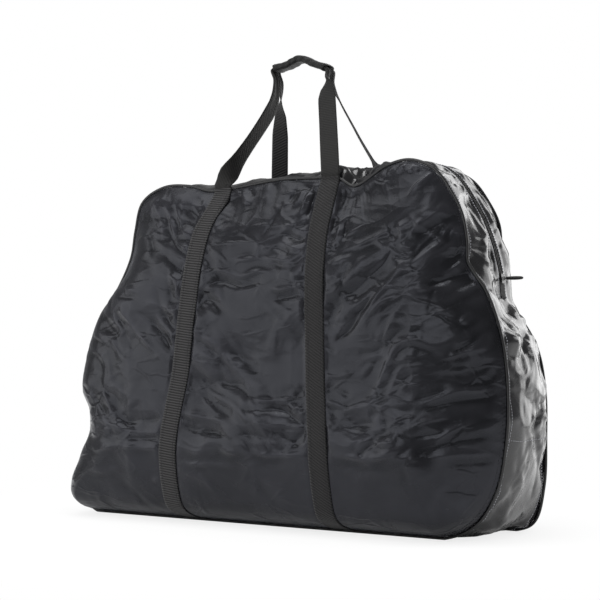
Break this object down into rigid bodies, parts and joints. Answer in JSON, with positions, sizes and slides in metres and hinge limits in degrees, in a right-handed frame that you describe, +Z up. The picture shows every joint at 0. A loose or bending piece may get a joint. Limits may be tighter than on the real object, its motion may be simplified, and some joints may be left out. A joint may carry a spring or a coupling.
{
  "type": "soft bike travel bag",
  "caption": "Large soft nylon bag for one packed bicycle, zipped over its lobed top, with webbing straps and carry handles joined at a wrapped grip.",
  "frame": {"origin": "on the floor under the middle of the bag", "axes": "+X along the bag towards the end with the taller lobe and the zip pull, -Y out of the front panel, +Z up"},
  "size_m": [1.2536, 0.4874, 1.1565],
  "materials": {
    "panel_nylon": "black nylon cloth with a soft blue-grey sheen",
    "coated_nylon": "glossy coated black nylon",
    "piping": "black covered cord, satin",
    "binding": "matte black binding tape",
    "webbing": "matte black ribbed webbing",
    "wrap_webbing": "matte black padded wrap",
    "zip_tape": "matte black woven tape",
    "zip_coil": "black nylon coil",
    "slider": "black enamel",
    "base_board": "dark plastic board"
  },
  "bodies": {
    "bag": {"front_panel": "panel_nylon", "back_panel": "panel_nylon", "bottom_gusset": "coated_nylon", "left_side_gusset": "coated_nylon", "right_side_gusset": "coated_nylon", "top_gusset_front": "coated_nylon", "top_gusset_back": "coated_nylon", "front_piping": "piping", "back_piping": "piping", "front_seam_binding": "binding", "back_seam_binding": "binding", "zip_tape_front": "zip_tape", "zip_tape_back": "zip_tape", "zip_coil_front": "zip_coil", "zip_coil_back": "zip_coil", "zip_end_tab_left": "zip_tape", "zip_end_tab_right": "zip_tape", "base_stiffener": "base_board", "front_left_strap": "webbing", "front_right_strap": "webbing", "back_left_strap": "webbing", "back_right_strap": "webbing", "bottom_left_strap": "webbing", "bottom_right_strap": "webbing"},
    "front_handle": {"front_handle": "webbing", "grip_wrap": "wrap_webbing"},
    "back_handle": {"back_handle": "webbing"},
    "zip_slider": {"zip_slider": "slider"},
    "zip_pull": {"zip_pull": "slider"}
  },
  "joints": [
    {"name": "front_handle_swing", "type": "hinge", "parent": "bag", "child": "front_handle", "pos_m": [0.00175, -0.1198, 0.82919], "axis": [0.9995, 0, 0.0317], "range_deg": [0, 130], "deforming": ["grip_wrap"]},
    {"name": "back_handle_swing", "type": "hinge", "parent": "bag", "child": "back_handle", "pos_m": [0.01027, 0.1198, 0.82922], "axis": [-0.9996, 0, -0.0282], "range_deg": [0, 130], "deforming": ["grip_wrap"]},
    {"name": "zip_slider_travel", "type": "hinge", "parent": "bag", "child": "zip_slider", "pos_m": [0.07418, 0, 0.51826], "axis": [0, -1, 0], "range_deg": [0, 30]},
    {"name": "zip_pull_swing", "type": "hinge", "parent": "zip_slider", "child": "zip_pull", "pos_m": [0.55098, 0, 0.58952], "axis": [0, -1, 0], "range_deg": [-65, 75]}
  ]
}
